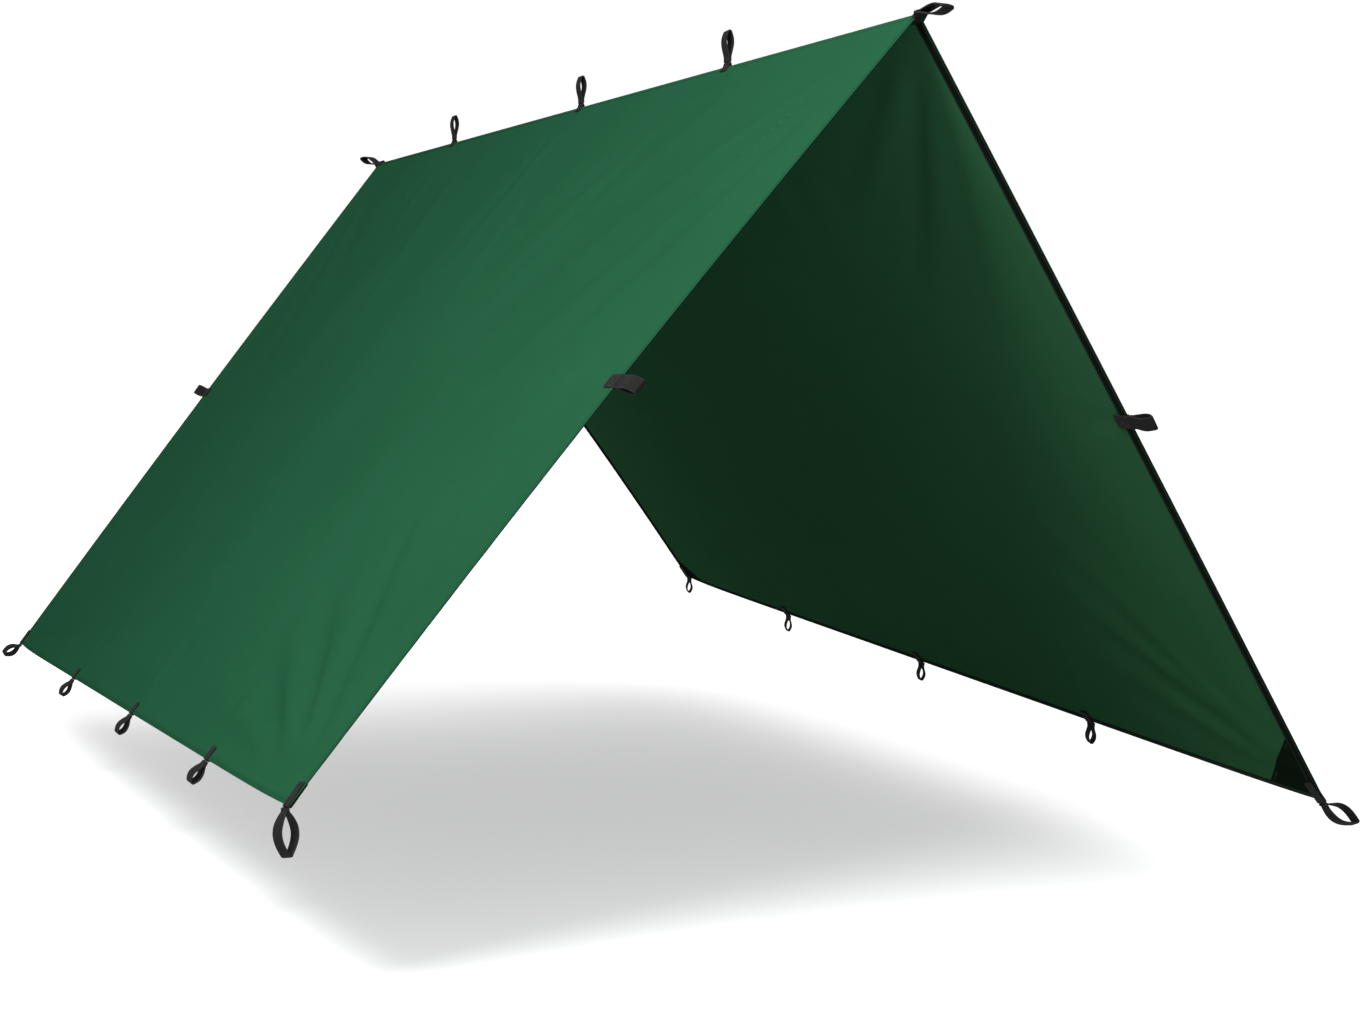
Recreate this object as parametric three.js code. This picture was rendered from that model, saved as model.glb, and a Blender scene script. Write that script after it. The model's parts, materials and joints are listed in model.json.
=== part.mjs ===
// Ridge tarp shelter pitched as an A-frame, in millimetres, +Z up.
// X runs across the shelter, Y along the ridge (front at -Y).
// The origin is on the ground plane, below the middle of the pitched outline.
import * as THREE from 'three';
import { mergeVertices } from 'three/addons/utils/BufferGeometryUtils.js';

// ---- Driving dimensions ----

// Pitched positions of the ridge ends and of the four eave corners. The corners are held
// by pegs that stand at slightly different heights and spreads, so each panel has a small twist.
const RIDGE_FRONT = new THREE.Vector3(41, -1504, 1304);
const RIDGE_BACK = new THREE.Vector3(41, 1486, 1304);
const EAVES = {
  left: {
    front: new THREE.Vector3(-936, -1516, 165),
    back: new THREE.Vector3(-895, 1475, 79),
  },
  right: {
    front: new THREE.Vector3(845, -1462, 44),
    back: new THREE.Vector3(947, 1550, 184),
  },
};

// Slack in the cloth: how far each panel billows outwards half way down its front and back
// edges, and how far each eave hem hangs past the straight line between its corners.
const BILLOW = { left: { front: 9.5, back: 4 }, right: { front: 2, back: 22 } };
const HEM_DROP = { left: { front: 4.5, back: 7 }, right: { front: 6.2, back: 11.4 } };
const HEM_DROP_POWER = 12; // the hem drops quickly beside the corners, then runs straight

const CLOTH_THICKNESS = 2.0; // cloth with its folded hem, as one plain slab
const CLEARANCE = 0.3; // between pieces that are sewn face to face
const RIDGE_GAP = 9; // from the ridge line to the upper edge of each panel
const CLOTH_GRID = [20, 16]; // quads down the slope and along the ridge

const SEAM_RADIUS = 5; // rolled seam along the ridge
const SEAM_SIDES = 12;
const SEAM_END_INSET = 2;

const TAPE_WIDTH = 24; // black tape under the front and back hems
const EAVE_TAPE_WIDTH = 10; // narrower binding under the eave hem
const TAPE_THICKNESS = 1.2;
const TAPE_EDGE_INSET = 1;
const TAPE_JOIN_GAP = 1; // from the eave tape to the gable tapes and corner patches
const GABLE_TAPE_STEPS = 12;
const EAVE_TAPE_STEPS = 40;

// Triangular corner reinforcements: how far each reaches up the slope and along the eave.
const PATCHES = { front: { slope: 130, eave: 154 }, back: { slope: 62, eave: 120 } };
const PATCH_THICKNESS = 0.9;

const STRAP_WIDTH = 25; // webbing of every tie-out strap
const STRAP_THICKNESS = 2.0;
const TAIL_EAVE = 24; // length of the sewn tails
const TAIL_CORNER = 38;
const TAIL_GABLE = 40;
const TAIL_RIDGE_END = 45;
const RIDGE_PAD_WIDTH = 16; // webbing pad on the seam under each middle ridge eye
const RIDGE_PAD_LENGTH = 27;
const RIDGE_END_GAP = 2; // from the end of the ridge to the strap folded over it
const RIDGE_END_DROP = 6;

const ROOT_RADIUS = 2.2; // doubled webbing where an eye leaves its stitching
const ROOT_STEPS = 6;
const ROOT_STANDOFF = 2.6; // from the folded strap to the centre line of that root
const TIP_FLAT = 5; // flat end of each eye, where a cord or a peg pulls
const NECK = 6; // webbing stays doubled this far from the root
const SLIT_START = 9; // from the root to the start of the open eye
const SLIT_MIN = 0.4;
const EYE_STEPS = 10;

// Free eyes: length from the root, widest gap-to-gap bulge, and where along the eye it is widest.
const EYES = {
  eave: { length: 40, bulge: 17, peak: 0.6 },
  ridge: { length: 54, bulge: 16, peak: 0.6 },
  ridgeEndFront: { length: 57, bulge: 17, peak: 0.58 },
  ridgeEndBack: { length: 66, bulge: 19, peak: 0.58 },
  gable: { length: 58, bulge: 16, peak: 0.6 },
  corner: { length: 67, bulge: 30, peak: 0.48 },
  backCorner: { length: 46, bulge: 22, peak: 0.55 },
};

// Distance of each middle strap along its edge, as a share of that edge from its front or top end.
const STATIONS = {
  ridge: [0.24, 0.49, 0.78],
  left: [0.192, 0.434, 0.684],
  right: [0.26, 0.511, 0.765],
  gable: 0.492,
};
const MIDDLE_NAMES = ['front', 'mid', 'back'];

// Direction in which each corner and gable eye points away from the sheet.
const DOWN = new THREE.Vector3(0, 0, -1);
const CORNER_EYES = {
  left: {
    front: { size: EYES.corner, points: DOWN, yaw: -8 },
    back: { size: EYES.backCorner, points: new THREE.Vector3(-0.9, 0, -0.42), yaw: 0 },
  },
  right: {
    front: { size: EYES.corner, points: new THREE.Vector3(0.83, -0.26, -0.49), yaw: -16 },
    back: { size: EYES.eave, points: DOWN, yaw: 0 },
  },
};
const GABLE_BEND = { left: { front: -12, back: 15 }, right: { front: 5, back: 0 } };
const RIDGE_END_EYES = {
  front: { size: EYES.ridgeEndFront, points: new THREE.Vector3(0.25, -0.97, 0.03) },
  back: { size: EYES.ridgeEndBack, points: new THREE.Vector3(-0.35, 0.9, 0.25) },
};

// ---- Materials ----

const CLOTH_GREEN = new THREE.MeshStandardMaterial({ color: 0x25633f, roughness: 0.55, metalness: 0 });
const TAPE_BLACK = new THREE.MeshStandardMaterial({ color: 0x0c110d, roughness: 0.8, metalness: 0 });
const WEBBING_BLACK = new THREE.MeshStandardMaterial({ color: 0x1b1c1b, roughness: 0.75, metalness: 0 });

// ---- Helpers ----

const object = new THREE.Group();

function vec(x, y, z) {
  return new THREE.Vector3(x, y, z);
}

function addMesh(name, geometry, material) {
  const mesh = new THREE.Mesh(geometry, material);
  mesh.name = name;
  object.add(mesh);
  return mesh;
}

// Closed solid from a flat list of corner points and a list of polygons, all facing out.
function solidFromFaces(points, faces) {
  const position = [];
  faces.forEach((face) => {
    for (let i = 1; i + 1 < face.length; i += 1) {
      [face[0], face[i], face[i + 1]].forEach((index) => position.push(...points[index].toArray()));
    }
  });
  const geometry = new THREE.BufferGeometry();
  geometry.setAttribute('position', new THREE.Float32BufferAttribute(position, 3));
  const merged = mergeVertices(geometry, 1e-4);
  merged.computeVertexNormals();
  return merged;
}

const DIFFERENCE_STEP = 1e-4; // for tangents of the cloth surface

function mix(pair, along) {
  return pair.front * (1 - along) + pair.back * along;
}

// Each panel is a ruled surface between the ridge and its eave, let out at the hem and
// billowed along its normal. `down` runs 0..1 from the ridge to the eave and `along` runs
// 0..1 from front to back.
function panelPoint(side, down, along) {
  const top = RIDGE_FRONT.clone().lerp(RIDGE_BACK, along);
  const foot = EAVES[side].front.clone().lerp(EAVES[side].back, along);
  const slope = foot.clone().sub(top).normalize();
  const outward = slope.clone().cross(EAVES[side].back.clone().sub(EAVES[side].front)).normalize();
  outward.multiplyScalar(Math.sign(outward.z));
  const drop = mix(HEM_DROP[side], along) * (1 - Math.abs(2 * along - 1) ** HEM_DROP_POWER);
  foot.addScaledVector(slope, drop);
  return top.lerp(foot, down).addScaledVector(outward, mix(BILLOW[side], along) * Math.sin(Math.PI * down));
}

function tangent(side, down, along, stepDown, stepAlong) {
  const after = panelPoint(side, down + stepDown, along + stepAlong);
  return after.sub(panelPoint(side, down - stepDown, along - stepAlong)).normalize();
}

function slopeDirection(side, down, along) {
  return tangent(side, down, along, DIFFERENCE_STEP, 0);
}

function hemDirection(side, along) {
  return tangent(side, 1, along, 0, DIFFERENCE_STEP);
}

function panelNormal(side, down, along) {
  const run = tangent(side, down, along, 0, DIFFERENCE_STEP);
  const normal = slopeDirection(side, down, along).cross(run).normalize();
  return normal.z < 0 ? normal.negate() : normal;
}

function slopeLength(side, along) {
  return panelPoint(side, 0, along).distanceTo(panelPoint(side, 1, along));
}

function eaveLength(side) {
  return EAVES[side].front.distanceTo(EAVES[side].back);
}

// Thin solid that follows a panel: `outline` is a function from (i, j) of a grid to
// (down, along), and the solid fills from `low` to `high` along the panel's normal.
function panelPatch(side, stepsDown, stepsAlong, outline, low, high) {
  const points = [];
  const index = (layer, i, j) => (layer * (stepsDown + 1) + i) * (stepsAlong + 1) + j;
  [low, high].forEach((height) => {
    for (let i = 0; i <= stepsDown; i += 1) {
      for (let j = 0; j <= stepsAlong; j += 1) {
        const [down, along] = outline(i / stepsDown, j / stepsAlong);
        const normal = panelNormal(side, down, along);
        points.push(panelPoint(side, down, along).addScaledVector(normal, height));
      }
    }
  });
  const faces = [];
  for (let i = 0; i < stepsDown; i += 1) {
    for (let j = 0; j < stepsAlong; j += 1) {
      faces.push([index(1, i, j), index(1, i + 1, j), index(1, i + 1, j + 1), index(1, i, j + 1)]);
      faces.push([index(0, i, j), index(0, i, j + 1), index(0, i + 1, j + 1), index(0, i + 1, j)]);
    }
  }
  for (let j = 0; j < stepsAlong; j += 1) {
    faces.push([index(0, 0, j), index(1, 0, j), index(1, 0, j + 1), index(0, 0, j + 1)]);
    faces.push([
      index(0, stepsDown, j), index(0, stepsDown, j + 1),
      index(1, stepsDown, j + 1), index(1, stepsDown, j),
    ]);
  }
  for (let i = 0; i < stepsDown; i += 1) {
    faces.push([index(0, i, 0), index(0, i + 1, 0), index(1, i + 1, 0), index(1, i, 0)]);
    faces.push([
      index(0, i, stepsAlong), index(1, i, stepsAlong),
      index(1, i + 1, stepsAlong), index(0, i + 1, stepsAlong),
    ]);
  }
  return orientOutward(solidFromFaces(points, faces));
}

// Turns every triangle over when the solid encloses a negative volume.
function orientOutward(geometry) {
  const position = geometry.getAttribute('position');
  const order = geometry.getIndex().array;
  const a = vec(0, 0, 0);
  const b = vec(0, 0, 0);
  const c = vec(0, 0, 0);
  let volume = 0;
  for (let t = 0; t < order.length; t += 3) {
    a.fromBufferAttribute(position, order[t]);
    b.fromBufferAttribute(position, order[t + 1]);
    c.fromBufferAttribute(position, order[t + 2]);
    volume += a.dot(b.cross(c));
  }
  if (volume < 0) {
    for (let t = 0; t < order.length; t += 3) {
      [order[t], order[t + 1]] = [order[t + 1], order[t]];
    }
    geometry.computeVertexNormals();
  }
  return geometry;
}

// Heights of each layer of the stack, measured along the panel's outward normal.
const CLOTH_TOP = CLOTH_THICKNESS / 2;
const CLOTH_UNDER = -CLOTH_THICKNESS / 2;
const TAPE_TOP = CLOTH_UNDER - CLEARANCE;
const TAPE_UNDER = TAPE_TOP - TAPE_THICKNESS;
const TAIL_OUTER_LOW = CLOTH_TOP + CLEARANCE;
const TAIL_OUTER_HIGH = TAIL_OUTER_LOW + STRAP_THICKNESS;
const TAIL_INNER_HIGH = TAPE_UNDER - CLEARANCE;
const TAIL_INNER_LOW = TAIL_INNER_HIGH - STRAP_THICKNESS;

// ---- Cloth, tapes and patches ----

function addPanel(side) {
  const geometry = panelPatch(side, CLOTH_GRID[0], CLOTH_GRID[1], (i, j) => {
    const first = RIDGE_GAP / slopeLength(side, j);
    return [first + i * (1 - first), j];
  }, CLOTH_UNDER, CLOTH_TOP);
  addMesh(`${side}_panel`, geometry, CLOTH_GREEN);
}

function addTapes(side) {
  const eave = eaveLength(side);
  const inset = TAPE_EDGE_INSET;
  const tapeTopGap = RIDGE_GAP * 3;
  ['front', 'back'].forEach((end) => {
    const geometry = panelPatch(side, GABLE_TAPE_STEPS, 1, (i, j) => {
      const slope = slopeLength(side, end === 'front' ? 0 : 1);
      const first = tapeTopGap / slope;
      const last = 1 - (EAVE_TAPE_WIDTH + inset + TAPE_JOIN_GAP) / slope;
      const offset = (inset + j * TAPE_WIDTH) / eave;
      return [first + i * (last - first), end === 'front' ? offset : 1 - offset];
    }, TAPE_UNDER, TAPE_TOP);
    addMesh(`tape_${side}_${end}`, geometry, TAPE_BLACK);
  });
  const geometry = panelPatch(side, 1, EAVE_TAPE_STEPS, (i, j) => {
    const slope = slopeLength(side, j);
    const first = inset / eave;
    return [1 - (inset + i * EAVE_TAPE_WIDTH) / slope, first + j * (1 - 2 * first)];
  }, TAPE_UNDER, TAPE_TOP);
  addMesh(`tape_${side}_eave`, geometry, TAPE_BLACK);
}

// Triangle of cloth sewn inside the tapes of one eave corner, with its long side cut straight.
function addCornerPatch(side, end) {
  const slope = slopeLength(side, end === 'front' ? 0 : 1);
  const eave = eaveLength(side);
  const up = EAVE_TAPE_WIDTH + TAPE_EDGE_INSET + TAPE_JOIN_GAP;
  const inward = TAPE_WIDTH + TAPE_EDGE_INSET + TAPE_JOIN_GAP;
  const corners = [
    [up, inward],
    [up, PATCHES[end].eave],
    [PATCHES[end].slope, inward],
  ];
  const place = ([rise, run], height) => {
    const down = 1 - rise / slope;
    const along = end === 'front' ? run / eave : 1 - run / eave;
    return panelPoint(side, down, along).addScaledVector(panelNormal(side, down, along), height);
  };
  const top = corners.map((corner) => place(corner, TAPE_TOP));
  const under = corners.map((corner) => place(corner, TAPE_TOP - PATCH_THICKNESS));
  const geometry = solidFromFaces([...top, ...under], [
    [0, 1, 2], [5, 4, 3], [0, 3, 4, 1], [1, 4, 5, 2], [2, 5, 3, 0],
  ]);
  addMesh(`patch_${side}_${end}`, orientOutward(geometry), TAPE_BLACK);
}

// ---- Webbing straps ----

// A strap lies in a frame of its own: x points away from the sheet, y along the sheet's
// outward normal and z across the strap.
function placeInFrame(mesh, at, out, up) {
  const x = out.clone().normalize();
  const z = x.clone().cross(up).normalize();
  const y = z.clone().cross(x);
  mesh.position.copy(at);
  mesh.quaternion.setFromRotationMatrix(new THREE.Matrix4().makeBasis(x, y, z));
}

function pointInFrame(at, out, up, x, y) {
  return at.clone().addScaledVector(out, x).addScaledVector(up, y);
}

// Profile drawn in the x-y plane of the strap, swept over the strap's width.
function sweepAcross(shape, width) {
  const solid = new THREE.ExtrudeGeometry(shape, { depth: width, bevelEnabled: false, steps: 1 });
  solid.translate(0, 0, -width / 2);
  solid.deleteAttribute('normal');
  solid.deleteAttribute('uv');
  const merged = mergeVertices(solid, 1e-4);
  merged.computeVertexNormals();
  return merged;
}

function outline(pairs) {
  return pairs.map(([x, y]) => new THREE.Vector2(x, y));
}

// Two sewn tails and the fold that joins them `gap` beyond the edge of the sheet.
function tailShape(tail, gap) {
  const fold = gap + STRAP_THICKNESS;
  return new THREE.Shape(outline([
    [-tail, TAIL_OUTER_LOW],
    [gap, TAIL_OUTER_LOW],
    [gap, TAIL_INNER_HIGH],
    [-tail, TAIL_INNER_HIGH],
    [-tail, TAIL_INNER_LOW],
    [fold, TAIL_INNER_LOW],
    [fold, TAIL_OUTER_HIGH],
    [-tail, TAIL_OUTER_HIGH],
  ]));
}

// Half width of an eye at a distance x from its root: doubled webbing first, a flat tip last.
function eyeHalfWidth(size, x) {
  const s = Math.max(0, (x - NECK) / (size.length - NECK));
  const power = Math.log(0.5) / Math.log(size.peak);
  const swell = Math.sin(Math.PI * s ** power);
  const base = ROOT_RADIUS * (1 - s) + (TIP_FLAT / 2) * s;
  return base + swell * (size.bulge / 2 - base);
}

function eyeShape(size) {
  const outer = [[0, ROOT_RADIUS]];
  const inner = [];
  const slitEnd = size.length - STRAP_THICKNESS;
  for (let k = 0; k <= EYE_STEPS; k += 1) {
    const s = k / EYE_STEPS;
    const reach = NECK + s * (size.length - NECK);
    outer.push([reach, eyeHalfWidth(size, reach)]);
    const x = SLIT_START + s * (slitEnd - SLIT_START);
    inner.push([x, Math.max(SLIT_MIN, eyeHalfWidth(size, x) - STRAP_THICKNESS)]);
  }
  const mirrored = (side) => side.slice().reverse().map(([x, y]) => [x, -y]);
  const root = [];
  for (let k = 1; k < ROOT_STEPS; k += 1) {
    const angle = -Math.PI / 2 - (Math.PI * k) / ROOT_STEPS;
    root.push([ROOT_RADIUS * Math.cos(angle), ROOT_RADIUS * Math.sin(angle)]);
  }
  const shape = new THREE.Shape(outline([...outer, ...mirrored(outer), ...root].reverse()));
  shape.holes.push(new THREE.Path(outline([...inner, ...mirrored(inner)])));
  return shape;
}

function addTab(name, shape, at, out, up) {
  const tab = addMesh(`tab_${name}`, sweepAcross(shape, STRAP_WIDTH), WEBBING_BLACK);
  placeInFrame(tab, at, out, up);
}

// Free eye with its root at `pivot`, pointing along `out`, turned only about its own width.
function addEye(name, size, pivot, out, up) {
  const eye = addMesh(`loop_${name}`, sweepAcross(eyeShape(size), STRAP_WIDTH), WEBBING_BLACK);
  placeInFrame(eye, pivot, out, up);
}

// One strap folded round the `edge` of a panel: sewn tails at `at`, and an eye bent by `bend`
// degrees from the plane of the sheet towards its outer side. A strap that crosses the edge
// askew stands a little further off it.
function addEdgeStrap(name, at, edge, out, up, tail, size, bend) {
  const gap = CLEARANCE + (STRAP_WIDTH / 2) * Math.abs(out.dot(edge));
  addTab(name, tailShape(tail, gap), at, out, up);
  const middle = (TAIL_OUTER_HIGH + TAIL_INNER_LOW) / 2;
  const pivot = pointInFrame(at, out, up, gap + STRAP_THICKNESS + ROOT_STANDOFF, middle);
  const across = out.clone().cross(up).normalize();
  const angle = THREE.MathUtils.degToRad(bend);
  addEye(name, size, pivot, out.clone().applyAxisAngle(across, angle), up.clone().applyAxisAngle(across, angle));
}

// Bend that turns `out` as near as it can to `target`.
function bendTowards(target, out, up) {
  return THREE.MathUtils.radToDeg(Math.atan2(target.dot(up), target.dot(out)));
}

function addEaveStraps(side) {
  STATIONS[side].forEach((along, k) => {
    const out = slopeDirection(side, 1, along);
    const up = panelNormal(side, 1, along);
    const bend = side === 'left' ? 0 : bendTowards(DOWN, out, up);
    const name = `${side}_eave_${MIDDLE_NAMES[k]}`;
    const at = panelPoint(side, 1, along);
    addEdgeStrap(name, at, hemDirection(side, along), out, up, TAIL_EAVE, EYES.eave, bend);
  });
}

// A corner strap runs down beside the gable edge and leaves the sheet at the eave.
function addCornerStraps(side) {
  ['front', 'back'].forEach((end) => {
    const { size, points, yaw } = CORNER_EYES[side][end];
    const sign = end === 'front' ? 1 : -1;
    const along = end === 'front' ? 0 : 1;
    const inset = along + (sign * STRAP_WIDTH) / 2 / eaveLength(side);
    const up = panelNormal(side, 1, inset);
    const turn = THREE.MathUtils.degToRad(side === 'left' ? -yaw : yaw);
    const out = slopeDirection(side, 1, inset).applyAxisAngle(up, turn);
    const bend = bendTowards(points, out, up);
    const at = panelPoint(side, 1, inset);
    const hem = hemDirection(side, inset);
    addEdgeStrap(`${side}_corner_${end}`, at, hem, out, up, TAIL_CORNER, size, bend);
  });
}

function addGableStraps(side) {
  ['front', 'back'].forEach((end) => {
    const along = end === 'front' ? 0 : 1;
    const down = STATIONS.gable;
    const up = panelNormal(side, down, along);
    const slope = slopeDirection(side, down, along);
    const out = slope.clone().cross(up).normalize();
    out.multiplyScalar(Math.sign(out.y) * (end === 'front' ? -1 : 1));
    const at = panelPoint(side, down, along);
    addEdgeStrap(`${side}_gable_${end}`, at, slope, out, up, TAIL_GABLE, EYES.gable, GABLE_BEND[side][end]);
  });
}

// ---- Ridge ----

function addRidgeSeam() {
  const length = RIDGE_FRONT.distanceTo(RIDGE_BACK) - 2 * SEAM_END_INSET;
  const geometry = new THREE.CylinderGeometry(SEAM_RADIUS, SEAM_RADIUS, length, SEAM_SIDES, 1);
  geometry.deleteAttribute('normal');
  geometry.deleteAttribute('uv');
  const seam = addMesh('ridge_seam', mergeVertices(geometry, 1e-4), CLOTH_GREEN);
  seam.geometry.computeVertexNormals();
  seam.position.copy(RIDGE_FRONT.clone().lerp(RIDGE_BACK, 0.5));
}

function addRidgeStraps() {
  const padUnder = SEAM_RADIUS + CLEARANCE;
  STATIONS.ridge.forEach((along, k) => {
    const at = RIDGE_FRONT.clone().lerp(RIDGE_BACK, along);
    const name = `ridge_${MIDDLE_NAMES[k]}`;
    const padGeometry = new THREE.BoxGeometry(RIDGE_PAD_WIDTH, RIDGE_PAD_LENGTH, STRAP_THICKNESS);
    const pad = addMesh(`tab_${name}`, padGeometry, WEBBING_BLACK);
    pad.position.copy(at).add(vec(0, 0, padUnder + STRAP_THICKNESS / 2));
    const pivot = at.clone().add(vec(0, 0, padUnder + STRAP_THICKNESS + ROOT_STANDOFF));
    addEye(name, EYES.ridge, pivot, vec(0, 0, 1), vec(1, 0, 0));
  });
}

// The end straps lie along the top of the ridge and fold down over its end.
function addRidgeEndStraps() {
  const under = SEAM_RADIUS + CLEARANCE;
  const fold = RIDGE_END_GAP + STRAP_THICKNESS;
  const shape = new THREE.Shape(outline([
    [-TAIL_RIDGE_END, under],
    [RIDGE_END_GAP, under],
    [RIDGE_END_GAP, -RIDGE_END_DROP],
    [fold, -RIDGE_END_DROP],
    [fold, under + STRAP_THICKNESS],
    [-TAIL_RIDGE_END, under + STRAP_THICKNESS],
  ]));
  const up = vec(0, 0, 1);
  [['front', RIDGE_FRONT, -1], ['back', RIDGE_BACK, 1]].forEach(([end, at, sign]) => {
    addTab(`ridge_end_${end}`, shape, at, vec(0, sign, 0), up);
    const { size, points } = RIDGE_END_EYES[end];
    const out = points.clone().normalize();
    const middle = (under + STRAP_THICKNESS - RIDGE_END_DROP) / 2;
    const reach = fold + ROOT_STANDOFF + (STRAP_WIDTH / 2) * Math.abs(out.x);
    const pivot = pointInFrame(at, vec(0, sign, 0), up, reach, middle);
    addEye(`ridge_end_${end}`, size, pivot, out, up);
  });
}

// ---- Assembly ----

addRidgeSeam();
addRidgeStraps();
addRidgeEndStraps();
['left', 'right'].forEach((side) => {
  addPanel(side);
  addTapes(side);
  addCornerPatch(side, 'front');
  addCornerPatch(side, 'back');
  addEaveStraps(side);
  addCornerStraps(side);
  addGableStraps(side);
});

object.updateMatrixWorld(true);

export default object;
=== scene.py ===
"""Ridge tarp shelter pitched as an A-frame: the visible cloth, tape and webbing, built in
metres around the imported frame. X runs across the shelter, Y along the ridge, +Z up."""

import json
import math
import random

import bpy
import numpy as np
from mathutils import Matrix, Vector


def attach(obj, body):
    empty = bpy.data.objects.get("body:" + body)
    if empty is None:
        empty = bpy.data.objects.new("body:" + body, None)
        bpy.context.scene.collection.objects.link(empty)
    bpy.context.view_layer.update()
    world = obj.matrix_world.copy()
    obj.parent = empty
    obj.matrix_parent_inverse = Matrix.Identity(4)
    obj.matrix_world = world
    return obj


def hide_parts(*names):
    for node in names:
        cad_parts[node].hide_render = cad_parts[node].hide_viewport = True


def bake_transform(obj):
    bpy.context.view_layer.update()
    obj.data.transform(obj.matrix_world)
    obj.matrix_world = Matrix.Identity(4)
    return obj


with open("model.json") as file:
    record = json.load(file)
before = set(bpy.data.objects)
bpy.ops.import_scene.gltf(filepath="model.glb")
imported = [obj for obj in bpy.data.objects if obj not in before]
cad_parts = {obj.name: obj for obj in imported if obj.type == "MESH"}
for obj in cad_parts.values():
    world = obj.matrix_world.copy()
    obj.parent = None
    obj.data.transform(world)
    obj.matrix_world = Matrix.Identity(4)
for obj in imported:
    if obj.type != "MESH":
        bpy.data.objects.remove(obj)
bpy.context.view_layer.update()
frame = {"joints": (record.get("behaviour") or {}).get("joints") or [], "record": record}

MM = 0.001

# ---- Driving dimensions, the same as the solid model's ----

RIDGE_FRONT = np.array([0.041, -1.504, 1.304])
RIDGE_BACK = np.array([0.041, 1.486, 1.304])
EAVES = {
    "left": {"front": np.array([-0.936, -1.516, 0.165]), "back": np.array([-0.895, 1.475, 0.079])},
    "right": {"front": np.array([0.845, -1.462, 0.044]), "back": np.array([0.947, 1.550, 0.184])},
}
BILLOW = {"left": (9.5 * MM, 4 * MM), "right": (2 * MM, 22 * MM)}
HEM_DROP = {"left": (4.5 * MM, 7 * MM), "right": (6.2 * MM, 11.4 * MM)}
HEM_DROP_POWER = 12
SLOPE = 1.506  # nominal size of one panel down the slope
RUN = 2.99  # and along the ridge
STATIONS = {
    "ridge": (0.24, 0.49, 0.78),
    "left": (0.192, 0.434, 0.684),
    "right": (0.26, 0.511, 0.765),
}
GABLE_STATION = 0.492
MIDDLE_NAMES = ("front", "mid", "back")
DIFFERENCE_STEP = 1e-4

STITCH_PITCH = 3.4 * MM
STITCH_SHARE = 0.72  # part of the pitch that shows as thread in a drawn row
STITCH_INSET = 3 * MM  # rows of stitches from the selvedge of a tape or strap
STRAP_WIDTH = 25 * MM
STRAP_THICKNESS = 2 * MM
TAIL_EAVE = 24 * MM
TAIL_CORNER = 38 * MM
TAIL_GABLE = 40 * MM
SADDLE_LEG = 15 * MM
TAIL_RIDGE_END = {"front": (11 * MM, 38 * MM), "back": (45 * MM, 38 * MM)}  # outer, inner
ROOT_RADIUS = 2.2 * MM
BEAD_RADIUS = 2.45 * MM
EYE_THICKNESS = 2.8 * MM
EYE_CLEAR = 2.6 * MM  # from the hinge of an eye to the fold of its sewn tails
EYE_START = -1.4 * MM  # the legs of an eye begin this far inside its hinge
NECK = 2.5 * MM
TIP_HALF = 2.3 * MM
# Free eyes: greatest width between their legs, and where along the eye it lies. The first
# entry found in the name of a strap holds for it.
EYE_SHAPES = {
    "ridge_end_front": (17 * MM, 0.58),
    "ridge_end_back": (19 * MM, 0.58),
    "ridge": (16 * MM, 0.6),
    "gable": (16 * MM, 0.6),
    "left_corner_back": (22 * MM, 0.55),
    "corner_front": (30 * MM, 0.48),
    "": (17 * MM, 0.6),
}

# Layers of the visible stack, along the sheet's outward normal.
CLOTH_HALF = 0.4 * MM
HEM_RAISE = 0.5 * MM
HEM_LIMIT = 12.3 * MM
EDGE_ROLL = 1.4 * MM
HEM_STITCH = 9.6 * MM
TAPE_TOP = -0.6 * MM
TAPE_THICKNESS = 1.1 * MM
TAPE_WIDTH = 24 * MM
EAVE_TAPE_WIDTH = 10 * MM
TAPE_EDGE_INSET = 1 * MM
TAPE_JOIN_GAP = 1 * MM
TAPE_START = 14 * MM  # the gable tapes begin this far below the ridge
# Legs of a corner patch: up the slope and along the eave.
PATCHES = {"front": (130 * MM, 154 * MM), "back": (62 * MM, 120 * MM)}
PATCH_THICKNESS = 0.7 * MM
PATCH_TUCK = 2 * MM
PATCH_STEPS = 14
TAIL_OUTER_MID = 2.1 * MM
TAIL_INNER_MID = -3.2 * MM

GRID_STEP = 14 * MM  # spacing of the cloth mesh away from its edges

FLOOR_Z = -0.13


# ---- Small helpers ----

def unit(v):
    return v / np.linalg.norm(v, axis=-1, keepdims=True)


def smooth(t):
    t = np.clip(t, 0.0, 1.0)
    return t * t * (3 - 2 * t)


# ---- Cloth surface ----

def panel_point(side, down, along):
    """Point of the taut panel; down runs 0..1 from ridge to eave, along 0..1 front to back."""
    down = np.asarray(down, float)[..., None]
    along = np.asarray(along, float)[..., None]
    front, back = EAVES[side]["front"], EAVES[side]["back"]
    top = RIDGE_FRONT * (1 - along) + RIDGE_BACK * along
    foot = front * (1 - along) + back * along
    slope = unit(foot - top)
    outward = unit(np.cross(slope, back - front))
    outward = outward * np.sign(outward[..., 2:3])
    drop = HEM_DROP[side][0] * (1 - along) + HEM_DROP[side][1] * along
    foot = foot + slope * drop * (1 - np.abs(2 * along - 1) ** HEM_DROP_POWER)
    billow = BILLOW[side][0] * (1 - along) + BILLOW[side][1] * along
    return top * (1 - down) + foot * down + outward * billow * np.sin(math.pi * down)


def tangent(side, down, along, step_down, step_along):
    after = panel_point(side, down + step_down, along + step_along)
    return unit(after - panel_point(side, down - step_down, along - step_along))


def slope_direction(side, down, along):
    return tangent(side, down, along, DIFFERENCE_STEP, 0)


def panel_normal(side, down, along):
    run = tangent(side, down, along, 0, DIFFERENCE_STEP)
    normal = unit(np.cross(slope_direction(side, down, along), run))
    return normal * np.sign(normal[..., 2:3])


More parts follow.
